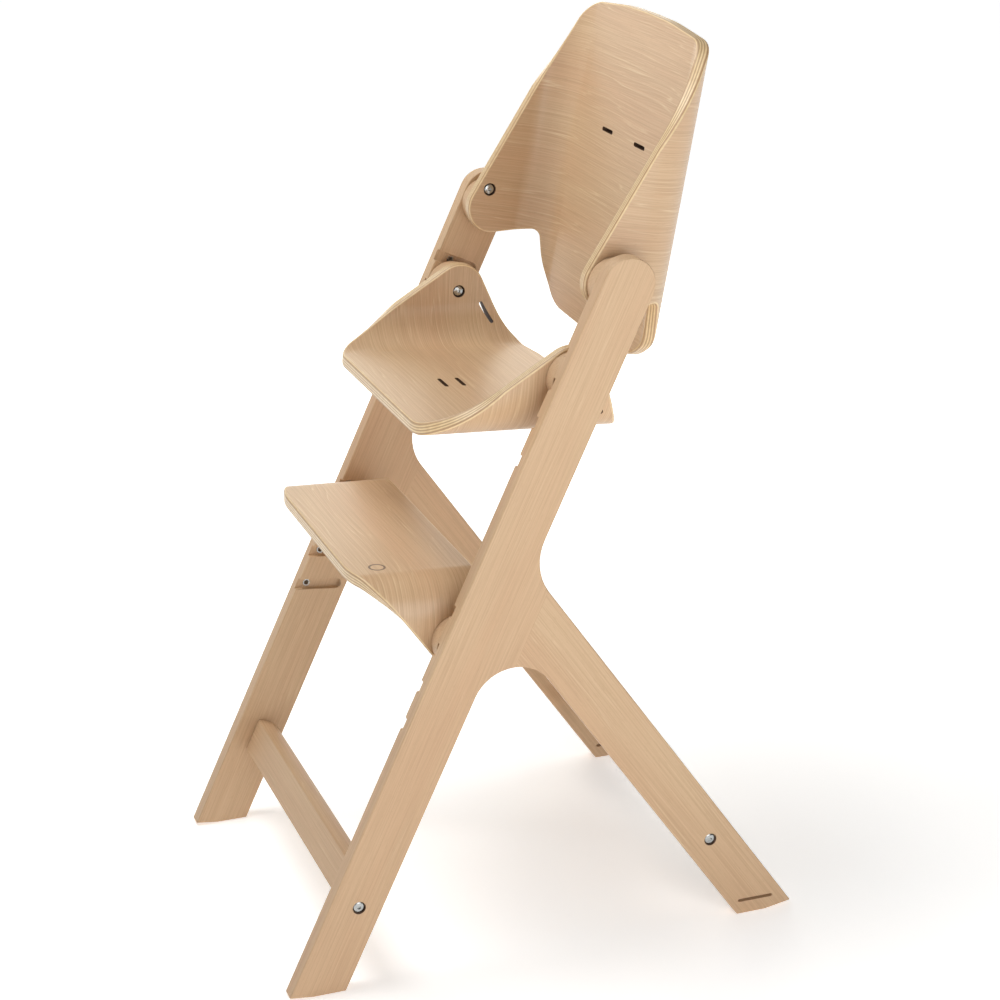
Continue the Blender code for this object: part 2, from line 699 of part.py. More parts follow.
def seat():
    tilt = math.radians(3.3)
    disc_l = 0.2147
    outline = [((-0.1585, 0), 0), ((-0.1585, 0.146), 0.046), ((0.0130, 0.2626), 0.0314),
               ((0.0695, 0.150), 0.060), ((0.0770, 0.095), 0.060), ((0.0770, 0), 0)]
    cutouts = wing_holes(0.0, disc_l)
    for side in (1, -1):
        cutouts.append(slot((0.0278, side * 0.2009), (0.0423, side * 0.1741), STRAP_SLOT))
    for h in (-0.078, -0.057):
        cutouts.append(slot((h, -0.0156), (h, 0.0156), STRAP_SLOT))
    along = Vector((math.cos(tilt), -math.sin(tilt)))
    up = Vector((math.sin(tilt), math.cos(tilt)))
    shell("seat", outline, cutouts, Bend(0.045, False, disc_l), on_front(SEAT_DISC_S), along, up)


def backrest():
    disc_l = 0.2267
    outline = [((-0.1020, 0), 0), ((-0.0970, 0.1475), 0.076), ((-0.0190, 0.1680), 0.010),
               ((-0.0428, 0.2799), 0.031), ((0.2590, 0.1545), 0.045), ((0.2680, 0.060), 0.400),
               ((0.2690, 0), 0)]
    cutouts = wing_holes(BACK_BOLT.x, disc_l + BACK_BOLT.y)
    for side in (1, -1):
        cutouts.append(slot((0.1259, side * 0.0308), (0.1259, side * 0.0608), STRAP_SLOT))
    shell("backrest", outline, cutouts, Bend(0.043, False, disc_l), on_front(PIVOT_S), BACK_UP,
          BACK_FORWARD)


def footrest():
    tilt = math.radians(2.7)
    disc_l = 0.2396
    outline = [((-0.1090, 0), 0), ((-0.1090, 0.1515), 0.120), ((0.0310, 0.3313), 0.0313),
               ((0.0310, 0), 0)]
    along = Vector((math.cos(tilt), -math.sin(tilt)))
    down = Vector((-math.sin(tilt), -math.cos(tilt)))
    shell("footrest", outline, wing_holes(0.0, disc_l), Bend(0.031, True, disc_l),
          on_front(FOOT_DISC_S), along, down)


# ---- the whole chair -------------------------------------------------------------------------------
def mirror_right_pieces():
    """Gives every piece of the right-hand side its twin on the left."""
    for piece in list(parts.objects):
        if not piece.name.endswith("_right"):
            continue
        mesh = piece.data.copy()
        mesh.transform(Matrix.Diagonal((-1, 1, 1, 1)))
        mesh.flip_normals()
        twin = add(piece.name.replace("_right", "_left"), mesh, parts)
        finish_of_twin = piece.data.materials[0].copy()
        finish_of_twin.name = twin.name + "_finish"
        mesh.materials[0] = finish_of_twin


def hang_on_pivot():
    """Puts the origin of every piece that tilts with the backrest on the pivots' axis."""
    pivot = across(0, 0, on_front(PIVOT_S))
    for piece in parts.objects:
        if piece.name.startswith("backrest"):
            piece.data.transform(Matrix.Translation(-pivot))
            piece.location = pivot


def build():
    side, word = -1, "right"
    front_leg(side, word)
    rear_leg(side, word)
    groove_inserts(side, word)
    groove_disc("seat", word, side, SEAT_DISC_S)
    groove_disc("footrest", word, side, FOOT_DISC_S)
    pivot_disc(word, side)
    crossbar("front_crossbar", on_front(BAR_S - BAR_BOLT_DROP, BAR_W), FRONT_UP, FRONT_BACK)
    crossbar("rear_crossbar", rear_bolt(), REAR_UP, REAR_BACK)
    mirror_right_pieces()
    seat()
    backrest()
    footrest()
    hang_on_pivot()


build()
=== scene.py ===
"""Looks of the wooden baby high chair: bent plywood shells with visible layers, solid beech side
frames and crossbars, turned discs, domed socket bolts and threaded inserts, on a pale studio floor.

Metres, in the row frame: +Z up, the chair faces -Y, +X is the side on a seated child's left.
"""
import json
import math

import bmesh
import bpy
from mathutils import Matrix, Vector


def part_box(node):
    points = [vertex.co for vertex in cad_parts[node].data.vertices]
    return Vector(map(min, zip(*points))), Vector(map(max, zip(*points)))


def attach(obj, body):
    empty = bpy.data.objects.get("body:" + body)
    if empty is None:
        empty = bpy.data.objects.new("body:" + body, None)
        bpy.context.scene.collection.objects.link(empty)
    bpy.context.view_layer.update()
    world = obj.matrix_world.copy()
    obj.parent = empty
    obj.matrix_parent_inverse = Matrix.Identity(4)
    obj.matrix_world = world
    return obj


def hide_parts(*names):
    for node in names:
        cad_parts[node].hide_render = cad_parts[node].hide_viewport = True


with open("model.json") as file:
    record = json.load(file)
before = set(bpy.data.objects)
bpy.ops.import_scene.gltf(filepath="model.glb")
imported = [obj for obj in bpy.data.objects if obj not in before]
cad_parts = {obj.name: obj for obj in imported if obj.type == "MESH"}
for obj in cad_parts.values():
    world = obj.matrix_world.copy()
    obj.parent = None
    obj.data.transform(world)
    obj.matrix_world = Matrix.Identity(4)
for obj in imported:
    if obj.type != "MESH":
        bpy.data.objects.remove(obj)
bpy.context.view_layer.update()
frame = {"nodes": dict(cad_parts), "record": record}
scene = bpy.context.scene

# ---- dimensions ------------------------------------------------------------------------------
FRONT_LEAN = math.radians(25)
REAR_LEAN = math.radians(35)
PLY = 0.014
WING_INNER = 0.176
RECESS_RADIUS = 0.0076
RECESS_DEPTH = 0.0040
HEAD_RADIUS = 0.0070
BOLT_HOLE = 0.0033
STRAP_SLOT = 0.0048
SHELL_EDGE = 0.0026           # rounding of the shells' edges
DISC_EDGE = 0.0009
HIDDEN_EDGE = 0.0003
DOME = 0.0024                 # height of a bolt head's dome
SOCKET_RADIUS = 0.0023
SOCKET_DEPTH = 0.0020
BURN_RADIUS = 0.0085          # the ring burnt into the footrest
BURN_PLACE = (-0.074, 0.129)  # its centre in the flat footrest, as (h, l)
BEND_STEPS = 28
LAYERS = 9                    # veneers in the plywood
SEAM_W = 0.0590               # the side frames' glued seam, behind the front leg's centre line
SEAM_GAP = 0.0003
TOP = Vector((0.0884, 0.7820))    # centre of the front legs' round tops, as (y, z)

SIDE_WORDS = ((1, "left"), (-1, "right"))

CUT_MARGIN = 0.01             # how far a cutting tool sticks out of the sheet
NEAR_WALL = 2e-4              # how far off its radius a hole's wall may lie
BEVEL_ABOVE = math.radians(50)


def side_view_centre(node):
    """Middle of a CAD node in the side view, as (y, z)."""
    low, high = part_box(node)
    return Vector(((low.y + high.y) / 2, (low.z + high.z) / 2))


SEAT_DISC = side_view_centre("seat_disc_left")
FOOT_DISC = side_view_centre("footrest_disc_left")
PIVOT = side_view_centre("backrest_disc_left")


# ---- outlines ----------------------------------------------------------------------------------
def rounded(corners, steps=14):
    """Closed outline through (point, radius) corners, each rounded by an arc of that radius."""
    outline = []
    count = len(corners)
    for index, (point, radius) in enumerate(corners):
        point = Vector(point)
        if not radius:
            outline.append(point)
            continue
        before = (Vector(corners[index - 1][0]) - point).normalized()
        after = (Vector(corners[(index + 1) % count][0]) - point).normalized()
        half = before.angle(after) / 2
        centre = point + (before + after).normalized() * (radius / math.sin(half))
        start = point + before * (radius / math.tan(half)) - centre
        end = point + after * (radius / math.tan(half)) - centre
        turn = start.angle_signed(end)
        for step in range(steps + 1):
            outline.append(centre + Matrix.Rotation(-turn * step / steps, 2) @ start)
    return outline


def circle(h, l, radius, sides=40):
    """Outline of a round hole."""
    return [Vector((h + radius * math.cos(2 * math.pi * n / sides),
                    l + radius * math.sin(2 * math.pi * n / sides))) for n in range(sides)]


def strap_slot(start, end, steps=8):
    """Outline of a slot with round ends."""
    start = Vector(start)
    end = Vector(end)
    along = (end - start).normalized()
    radius = STRAP_SLOT / 2
    outline = []
    for centre, first in ((end - along * radius, -math.pi / 2), (start + along * radius, math.pi / 2)):
        for step in range(steps + 1):
            turn = Matrix.Rotation(first + math.pi * step / steps, 2)
            outline.append(centre + turn @ along * radius)
    return outline


# ---- meshes ------------------------------------------------------------------------------------
def link(name, mesh):
    piece = bpy.data.objects.new(name, mesh)
    scene.collection.objects.link(piece)
    return piece


def clean(mesh):
    """Merges corners that lie together and faces that lie flat, and points every face outward."""
    shape = bmesh.new()
    shape.from_mesh(mesh)
    bmesh.ops.remove_doubles(shape, verts=shape.verts, dist=2e-6)
    bmesh.ops.dissolve_limit(shape, angle_limit=math.radians(0.2), verts=shape.verts,
                             edges=shape.edges)
    bmesh.ops.recalc_face_normals(shape, faces=shape.faces)
    shape.to_mesh(mesh)
    shape.free()


def flat_sheet(name, outline, low, high):
    """A flat outline in (h, l) given a thickness from low to high."""
    curve = bpy.data.curves.new(name, "CURVE")
    curve.dimensions = "2D"
    curve.fill_mode = "BOTH"
    curve.extrude = (high - low) / 2
    spline = curve.splines.new("POLY")
    spline.points.add(len(outline) - 1)
    for point, corner in zip(spline.points, outline):
        point.co = (corner[0], corner[1], 0.0, 1.0)
    spline.use_cyclic_u = True
    drawn = link(name, curve)
    mesh = evaluated(drawn)
    bpy.data.objects.remove(drawn, do_unlink=True)
    mesh.transform(Matrix.Translation((0, 0, (high + low) / 2)))
    clean(mesh)
    return link(name, mesh)


def evaluated(piece):
    """A new mesh of the piece with its modifiers or curve settings applied."""
    bpy.context.view_layer.update()
    graph = bpy.context.evaluated_depsgraph_get()
    return bpy.data.meshes.new_from_object(piece.evaluated_get(graph))


def bake_modifiers(piece):
    mesh = evaluated(piece)
    piece.modifiers.clear()
    piece.data = mesh


def cut(piece, tool):
    """Takes the tool's volume out of the piece and deletes the tool."""
    step = piece.modifiers.new("cut", "BOOLEAN")
    step.operation = "DIFFERENCE"
    step.solver = "EXACT"
    step.object = tool
    bake_modifiers(piece)
    bpy.data.objects.remove(tool, do_unlink=True)


def bevel_edges(piece, width, segments):
    """Rounds every edge whose faces turn by more than BEVEL_ABOVE."""
    step = piece.modifiers.new("round", "BEVEL")
    step.width = width
    step.segments = segments
    step.limit_method = "ANGLE"
    step.angle_limit = BEVEL_ABOVE
    step.use_clamp_overlap = False
    bake_modifiers(piece)


def smooth(piece, sharp_above=40):
    """Smooth shading in which broad faces keep their own direction."""
    for face in piece.data.polygons:
        face.use_smooth = True
    piece.data.set_sharp_from_angle(angle=math.radians(sharp_above))
    step = piece.modifiers.new("weighted", "WEIGHTED_NORMAL")
    step.keep_sharp = True
    step.weight = 100


def body_of(node):
    """Name of the moving or fixed body that a CAD node belongs to."""
    for body, nodes in frame["record"]["behaviour"]["bodies"].items():
        if node in nodes:
            return body
    raise KeyError(node)


def stand_for(piece, node, material=None):
    """The piece takes a CAD node's place, rides on its body and gets its material."""
    if material:
        piece.data.materials.clear()
        piece.data.materials.append(material)
    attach(piece, body_of(node))
    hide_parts(node)


def dressed_copy(node, width=0.0, segments=2):
    """A copy of a CAD node with merged corners and, if wanted, softly rounded edges."""
    mesh = frame["nodes"][node].data.copy()
    mesh.materials.clear()
    piece = link("look_" + node, mesh)
    clean(mesh)
    if width:
        bevel_edges(piece, width, segments)
    smooth(piece)
    return piece


def close_seam(leg):
    """Moves the rear leg's glued end against the front leg, so that no dark line shows there."""
    back = Vector((0, math.cos(FRONT_LEAN), -math.sin(FRONT_LEAN)))
    for vert in leg.data.vertices:
        behind = (vert.co - Vector((vert.co.x, TOP.x, TOP.y))).dot(back)
        if SEAM_W + SEAM_GAP / 2 < behind < SEAM_W + SEAM_GAP * 1.5:
            vert.co -= back * (behind - SEAM_W)


def darken_recess(leg, bolt):
    """Gives the wall of a bolt's recess the second material: painted shade in the hollow round the
    bolt's head.
    """
    low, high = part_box(bolt)
    axis = (low + high) / 2
    # the second material is painted shade on the recess wall
    leg.data.materials.append(CUT_WALL_SHADE)
    for face in leg.data.polygons:
        off_axis = (face.center - axis).yz.length
        if off_axis < RECESS_RADIUS + NEAR_WALL and abs(face.normal.x) < 0.5:
            face.material_index = 1


# ---- bent plywood ------------------------------------------------------------------------------
class Bend:
    """How a flat sheet bends into a shell: a plate, two bends, and two wings square to it."""

    def __init__(self, inner_radius, outline_on_outer_face, disc_l):
        self.inner = inner_radius
        self.flat = WING_INNER - inner_radius
        self.drawn = inner_radius + (PLY if outline_on_outer_face else 0.0)
        self.wing_start = self.flat + self.drawn * math.pi / 2
        self.disc_k = self.inner + disc_l - self.wing_start
        arc = self.drawn * math.pi / 2
        self.columns = [self.flat + arc * step / BEND_STEPS for step in range(BEND_STEPS + 1)]

    def place(self, across_sheet, depth):
        """X and height over the plate's inner face, at a depth into the sheet."""
        reach = abs(across_sheet)
        radius = self.inner + depth
        if reach <= self.flat:
            x, k = reach, -depth
        elif reach < self.wing_start:
            angle = (reach - self.flat) / self.drawn
            x = self.flat + radius * math.sin(angle)
            k = self.inner - radius * math.cos(angle)
        else:
            x, k = self.flat + radius, self.inner + reach - self.wing_start
        return math.copysign(x, across_sheet), k


def remember_flat_place(mesh):
    """Keeps each corner's place in the flat sheet for the grain and the layers."""
    flat = mesh.attributes.new("flat", "FLOAT_VECTOR", "POINT")
    for vert, kept in zip(mesh.vertices, flat.data):
        kept.vector = vert.co


def reach_of(point, start, end):
    """Distance of a point from the line between two points."""
    along = end - start
    if along.length < 1e-9:
        return (point - start).length
    share = max(0.0, min(1.0, (point - start).dot(along) / along.length_squared))
    return (point - start - along * share).length


def mark_cut_walls(sheet, bolt, slots):
    """Gives the walls of the slots and of the bolts' recesses the second material, which paints them
    near-black as shade.
    """
    lines = [(Vector((bolt[0], side * bolt[1])),) * 2 + (RECESS_RADIUS,) for side in (1, -1)]
    lines += [(Vector(start), Vector(end), STRAP_SLOT / 2) for start, end in slots]
    for face in sheet.data.polygons:
        inside = any(reach_of(face.center.xy, start, end) < radius + NEAR_WALL
                     for start, end, radius in lines)
        off_faces = 1e-5 < face.center.z < PLY - 1e-5
        face.material_index = 1 if inside and off_faces else 0


def shell(node, half_outline, bolt, slots, bend, disc, along, wings, material):
    """Cuts a flat sheet to its outline, cuts its holes, rounds its edges and bends it.

    The outline, bolt and slots are in the flat sheet's (h, l), with l across the chair. In the side
    view h runs along and the wings stand along wings, and the disc's centre is where h is 0.
    """
    mirrored = [((h, -l), radius) for (h, l), radius in reversed(half_outline) if l > 0]
    sheet = flat_sheet("look_" + node, rounded(half_outline + mirrored), 0.0, PLY)
    for side in (1, -1):
        recess = circle(bolt[0], side * bolt[1], RECESS_RADIUS)
        hole = circle(bolt[0], side * bolt[1], BOLT_HOLE, 24)
        cut(sheet, flat_sheet("recess", recess, -CUT_MARGIN, RECESS_DEPTH))
        cut(sheet, flat_sheet("hole", hole, -CUT_MARGIN, PLY + CUT_MARGIN))
    for start, end in slots:
        cut(sheet, flat_sheet("slot", strap_slot(start, end), -CUT_MARGIN, PLY + CUT_MARGIN))
    clean(sheet.data)
    round_rims(sheet)
    sheet.data.materials.append(material)
    # the second material paints shade on the walls of the slots and recesses
    sheet.data.materials.append(CUT_WALL_SHADE)
    mark_cut_walls(sheet, bolt, slots)
    split_columns(sheet.data, bend.columns)
    remember_flat_place(sheet.data)
    for vert in sheet.data.vertices:
        h, across_sheet, depth = vert.co
        x, k = bend.place(across_sheet, depth)
        side_view = disc + along * h + wings * (k - bend.disc_k)
        vert.co = (x, side_view.x, side_view.y)
    face_outward(sheet.data)
    smooth(sheet)
    stand_for(sheet, node)


def split_columns(mesh, columns):
    """Cuts the flat sheet into strips on both sides of the middle, so that it can bend."""
    shape = bmesh.new()
    shape.from_mesh(mesh)
    for column in columns:
        for edge in (column, -column):
            everything = shape.verts[:] + shape.edges[:] + shape.faces[:]
            bmesh.ops.bisect_plane(shape, geom=everything, dist=1e-6, plane_co=(0, edge, 0),
                                   plane_no=(0, 1, 0))
    shape.to_mesh(mesh)
    shape.free()


def face_outward(mesh):
    shape = bmesh.new()
    shape.from_mesh(mesh)
    bmesh.ops.recalc_face_normals(shape, faces=shape.faces)
    shape.to_mesh(mesh)
    shape.free()


def round_rims(sheet):
    """Rounds the outline's edges on both faces of the sheet and leaves the holes' edges crisp."""
    shape = bmesh.new()
    shape.from_mesh(sheet.data)
    walls = [face for face in shape.faces if abs(face.normal.z) < 0.5]
    outline = connected_walls(max(walls, key=lambda wall: abs(wall.calc_center_median().x)))
    rims = []
    for wall in outline:
        for edge in wall.edges:
            if abs(edge.verts[0].co.z - edge.verts[1].co.z) < 1e-6:
                rims.append(edge)
    bmesh.ops.bevel(shape, geom=rims, offset=SHELL_EDGE, segments=5, profile=0.5, affect="EDGES",
                    clamp_overlap=False)
    shape.to_mesh(sheet.data)
    shape.free()


def connected_walls(first):
    """The walls that follow one another round the outline from the first."""
    found = {first}
    waiting = [first]
    while waiting:
        wall = waiting.pop()
        for edge in wall.edges:
            for other in edge.link_faces:
                if other not in found and abs(other.normal.z) < 0.5:
                    found.add(other)
                    waiting.append(other)
    return found


# ---- materials -----------------------------------------------------------------------------------
class Nodes:
    """Short calls for building a material's node tree."""

    def __init__(self, name):
        self.material = bpy.data.materials.new(name)
        self.material.use_nodes = True
        self.tree = self.material.node_tree
        self.shader = self.tree.nodes["Principled BSDF"]

    def value(self, socket, source):
        """Sets the socket to a number or colour, or links it to another node's output."""
        if isinstance(source, (int, float, tuple)):
            socket.default_value = source
        else:
            self.tree.links.new(source, socket)

    def math(self, operation, a, b=0.0, c=0.0):
        node = self.tree.nodes.new("ShaderNodeMath")
        node.operation = operation
        for socket, source in zip(node.inputs, (a, b, c)):
            self.value(socket, source)
        return node.outputs[0]

    def attribute(self, name):
        node = self.tree.nodes.new("ShaderNodeAttribute")
        node.attribute_name = name
        return node.outputs["Vector"]

    def object_place(self):
        return self.tree.nodes.new("ShaderNodeTexCoord").outputs["Object"]

    def split(self, vector):
        node = self.tree.nodes.new("ShaderNodeSeparateXYZ")
        self.value(node.inputs[0], vector)
        return node.outputs

    def join(self, x, y, z):
        node = self.tree.nodes.new("ShaderNodeCombineXYZ")
        for socket, source in zip(node.inputs, (x, y, z)):
            self.value(socket, source)
        return node.outputs[0]

    def turn(self, vector, angle):
        """The vector turned about X."""
        node = self.tree.nodes.new("ShaderNodeVectorRotate")
        node.rotation_type = "X_AXIS"
        self.value(node.inputs["Vector"], vector)
        node.inputs["Angle"].default_value = angle
        return node.outputs[0]

    def scale(self, vector, x, y, z, shift=(0, 0, 0)):
        node = self.tree.nodes.new("ShaderNodeMapping")
        self.value(node.inputs["Vector"], vector)
        node.inputs["Scale"].default_value = (x, y, z)
        node.inputs["Location"].default_value = shift
        return node.outputs[0]

    def noise(self, vector, detail, rough):
        node = self.tree.nodes.new("ShaderNodeTexNoise")
        self.value(node.inputs["Vector"], vector)
        node.inputs["Scale"].default_value = 1.0
        node.inputs["Detail"].default_value = detail
        node.inputs["Roughness"].default_value = rough
        return node.outputs["Fac"]

    def ramp(self, source, *stops):
        """Values at places: each stop is (place, value)."""
        node = self.tree.nodes.new("ShaderNodeValToRGB")
        self.value(node.inputs[0], source)
        elements = node.color_ramp.elements
        while len(elements) < len(stops):
            elements.new(0.5)
        for element, (place, shade) in zip(elements, stops):
            element.position = place
            element.color = (*shade, 1) if isinstance(shade, tuple) else (shade, shade, shade, 1)
        return node.outputs[0]

    def mix(self, share, a, b):
        node = self.tree.nodes.new("ShaderNodeMix")
        node.data_type = "RGBA"
        self.value(node.inputs["Factor"], share)
        self.value(node.inputs["A"], a if not isinstance(a, tuple) else (*a, 1))
        self.value(node.inputs["B"], b if not isinstance(b, tuple) else (*b, 1))
        return node.outputs["Result"]

    def bump(self, height, strength, distance):
        node = self.tree.nodes.new("ShaderNodeBump")
        node.inputs["Strength"].default_value = strength
        node.inputs["Distance"].default_value = distance
        self.value(node.inputs["Height"], height)
        self.value(self.shader.inputs["Normal"], node.outputs[0])

    def finish(self, colour, roughness, metallic=0.0):
        self.value(self.shader.inputs["Base Color"], colour if not isinstance(colour, tuple)
                   else (*colour, 1))
        self.value(self.shader.inputs["Roughness"], roughness)
        self.shader.inputs["Metallic"].default_value = metallic
        return self.material


BEECH_PALE = (0.710, 0.550, 0.335)
BEECH_MID = (0.604, 0.418, 0.248)
BEECH_DARK = (0.455, 0.282, 0.158)
BEECH_WARM = (0.580, 0.358, 0.206)
PLY_CREAM = (0.820, 0.640, 0.370)
PLY_TAN = (0.610, 0.420, 0.225)
PLY_BROWN = (0.330, 0.172, 0.086)
GLUE_LINE = (0.360, 0.176, 0.096)
# near black: the colour of the burnt ring, and painted shade on the walls of slots and recesses
BURN_AND_SHADE_BLACK = (0.095, 0.042, 0.022)
# painted shade on the walls of slots and recesses: their layer bands and paler mottle
WALL_SHADE_BROWN = (0.100, 0.058, 0.032)
WALL_SHADE_PALE = (0.150, 0.092, 0.052)
LACQUER_WEIGHT = 0.25
LACQUER_ROUGHNESS = 0.26


def grain_lines(nodes, place, spacing, waviness, seed):
    """Growth lines along Z, one each spacing, bent by slow noise: a value from 0 to 1 across each."""
    shift = (seed * 3.1, seed * 1.7, seed * 0.9)
    slow = nodes.noise(nodes.scale(place, 13, 13, 3.2, shift), 1.5, 0.5)
    uneven = nodes.noise(nodes.scale(place, 85, 85, 1.5, shift), 2.0, 0.6)
    x, _, _ = nodes.split(place)
    count = nodes.math("MULTIPLY_ADD", slow, waviness, nodes.math("DIVIDE", x, spacing))
    return nodes.math("FRACT", nodes.math("MULTIPLY_ADD", uneven, 3.2, count))


def beech_grain(nodes, place, seed, figure, spacing, waviness):
    """Beech's colour and height at a place in metres whose Z runs along the grain.

    Figure is how strong the growth lines are, spacing the distance between them, and waviness how
    many spacings they wander.
    """
    shift = (seed * 1.3, seed * 2.9, seed * 0.7)
    line = grain_lines(nodes, place, spacing, waviness, seed)
    fine_line = grain_lines(nodes, place, spacing * 0.37, waviness * 1.9, seed + 3)
    fade = nodes.noise(nodes.scale(place, 60, 60, 5, shift), 2.0, 0.5)
    fade = nodes.ramp(fade, (0.38, 0.15), (0.62, 1.0))
    broad = nodes.noise(nodes.scale(place, 16, 16, 2.0, shift), 2.0, 0.5)
    streaks = nodes.noise(nodes.scale(place, 700, 700, 9.0, shift), 2.0, 0.6)
    flecks = nodes.noise(nodes.scale(place, 1100, 1100, 120, shift), 1.0, 0.5)
    flecks = nodes.ramp(flecks, (0.62, 0.0), (0.72, 1.0))
    base = nodes.mix(nodes.ramp(broad, (0.32, 0.0), (0.68, 0.75)), BEECH_MID, BEECH_WARM)
    dark = nodes.ramp(line, (0.0, 0.0), (0.30, 0.10), (0.78, 0.75), (0.90, 0.0), (1.0, 0.0))
    dark = nodes.math("MULTIPLY", nodes.math("MULTIPLY", dark, fade), 0.55 * figure)
    colour = nodes.mix(dark, base, BEECH_DARK)
    pale = nodes.ramp(line, (0.0, 0.25), (0.05, 0.0), (0.86, 0.0), (0.94, 1.0), (1.0, 0.25))
    pale = nodes.math("MULTIPLY", nodes.math("MULTIPLY", pale, fade), 0.80 * figure)
    colour = nodes.mix(pale, colour, BEECH_PALE)
    fine = nodes.ramp(fine_line, (0.0, 0.0), (0.5, 0.0), (0.8, 1.0), (1.0, 0.0))
    colour = nodes.mix(nodes.math("MULTIPLY", fine, 0.30 * figure), colour, BEECH_PALE)
    colour = nodes.mix(nodes.ramp(streaks, (0.36, 0.42), (0.56, 0.0)), colour, BEECH_DARK)
    colour = nodes.mix(nodes.math("MULTIPLY", flecks, 0.30), colour, BEECH_DARK)
    height = nodes.math("SUBTRACT", nodes.math("MULTIPLY", streaks, 0.6), flecks)
    return colour, height


def solid_beech(name, lean, seed):
    """Solid beech whose grain runs along a side-view line leaning by an angle from upright."""
    nodes = Nodes(name)
    x, y, z = nodes.split(nodes.turn(nodes.object_place(), lean))
    place = nodes.join(nodes.math("ADD", y, nodes.math("MULTIPLY", x, 0.35)), x, z)
    colour, height = beech_grain(nodes, place, seed, 0.42, 0.0075, 4.0)
    nodes.bump(height, 0.15, 0.0002)
    return nodes.finish(colour, 0.50)


def cross_beech(name, seed):
    """Solid beech whose grain runs across the chair."""
    nodes = Nodes(name)
    x, y, z = nodes.split(nodes.object_place())
    colour, height = beech_grain(nodes, nodes.join(nodes.math("ADD", y, z), z, x), seed, 0.55, 0.0085,
                                 4.0)
    nodes.bump(height, 0.15, 0.0002)
    return nodes.finish(colour, 0.50)


def ply_edge(nodes, flat, depth):
    """Cream veneers with thin brown glue lines, and darker end-grain veneers between."""
    wander = nodes.noise(nodes.scale(flat, 70, 70, 120), 2.0, 0.5)
    wavy = nodes.math("MULTIPLY_ADD", nodes.math("SUBTRACT", wander, 0.5), 0.02,
                      nodes.math("DIVIDE", depth, PLY))
    pair = nodes.math("FRACT", nodes.math("MULTIPLY", wavy, LAYERS / 2))
    brown = nodes.ramp(pair, (0.0, 0.6), (0.08, 0.0), (0.50, 0.0), (0.62, 0.9), (0.92, 0.9),
                       (1.0, 0.6))
    fibres = nodes.noise(nodes.scale(flat, 160, 160, 160), 2.0, 0.6)
    cream = nodes.mix(nodes.ramp(fibres, (0.35, 0.55), (0.70, 0.15)), PLY_CREAM, PLY_TAN)
    edge = nodes.mix(nodes.math("MULTIPLY", brown, 0.72), cream, PLY_BROWN)
    first = nodes.math("MINIMUM", depth, nodes.math("SUBTRACT", PLY, depth))
    first = nodes.ramp(nodes.math("MULTIPLY", first, 500.0), (0.40, 0.0), (0.55, 0.7), (0.80, 0.7),
                       (0.95, 0.0))
    return nodes.mix(first, edge, GLUE_LINE)


def ring_mark(nodes, h, l, depth, centre):
    """How strongly a plain ring is burnt in, on the outer face of the sheet only."""
    out = nodes.math("POWER", nodes.math("SUBTRACT", h, centre[0]), 2.0)
    out = nodes.math("ADD", out, nodes.math("POWER", nodes.math("SUBTRACT", l, centre[1]), 2.0))
    away = nodes.math("ABSOLUTE", nodes.math("SUBTRACT", nodes.math("SQRT", out), BURN_RADIUS))
    mark = nodes.ramp(nodes.math("MULTIPLY", away, 500.0), (0.55, 1.0), (0.75, 0.0))
    mark = nodes.math("MULTIPLY", mark, nodes.math("GREATER_THAN", depth, PLY / 2))
    return nodes.math("MULTIPLY", mark, 0.85)


def plywood(name, seed, burnt_ring=None):
    """Beech plywood: grain across the sheet on its faces, and layers on its edges."""
    nodes = Nodes(name)
    flat = nodes.attribute("flat")
    h, l, depth = nodes.split(flat)
    place = nodes.join(nodes.math("MULTIPLY_ADD", depth, 5.0, h), depth, l)
    face, height = beech_grain(nodes, place, seed, 1.0, 0.0070, 7.0)
    if burnt_ring:
        face = nodes.mix(ring_mark(nodes, h, l, depth, burnt_ring), face, BURN_AND_SHADE_BLACK)
    from_face = nodes.math("MINIMUM", depth, nodes.math("SUBTRACT", PLY, depth))
    inside = nodes.ramp(nodes.math("MULTIPLY", from_face, 1000.0), (0.02, 0.0), (0.20, 1.0))
    colour = nodes.mix(inside, face, ply_edge(nodes, flat, depth))
    nodes.bump(height, 0.12, 0.0002)
    nodes.shader.inputs["Coat Weight"].default_value = LACQUER_WEIGHT
    nodes.shader.inputs["Coat Roughness"].default_value = LACQUER_ROUGHNESS
    return nodes.finish(colour, 0.42)


def shaded_wall():
    """The walls of slots and recesses: near-black painted shade, banded faintly by the plywood's layers
    and mottled.
    """
    nodes = Nodes("cut_wall_painted_shade")
    depth = nodes.split(nodes.attribute("flat"))[2]
    layer = nodes.math("FRACT", nodes.math("MULTIPLY", depth, LAYERS / 2 / PLY))
    wall_mottle = nodes.noise(nodes.scale(nodes.attribute("flat"), 500, 500, 900), 2.0, 0.6)
    # near-black painted shade, with the layers as faint bands and a paler mottle
    brown = nodes.mix(nodes.ramp(layer, (0.45, 0.0), (0.55, 1.0)), BURN_AND_SHADE_BLACK, WALL_SHADE_BROWN)
    colour = nodes.mix(nodes.ramp(wall_mottle, (0.4, 0.0), (0.7, 0.6)), brown, WALL_SHADE_PALE)
    nodes.bump(wall_mottle, 0.2, 0.0002)
    return nodes.finish(colour, 0.6)


def metal(name, colour, roughness, seed):
    """Metal with faint wear in its colour and its gloss."""
    nodes = Nodes(name)
    wear = nodes.noise(nodes.scale(nodes.object_place(), 900, 900, 900, (seed, 0, 0)), 3.0, 0.6)
    shade = nodes.mix(nodes.ramp(wear, (0.3, 0.0), (0.7, 1.0)), colour,
                      tuple(channel * 0.82 for channel in colour))
    rough = nodes.math("ADD", nodes.math("MULTIPLY", wear, 0.16), roughness - 0.08)
    nodes.bump(wear, 0.06, 0.0001)
    return nodes.finish(shade, rough, 1.0)


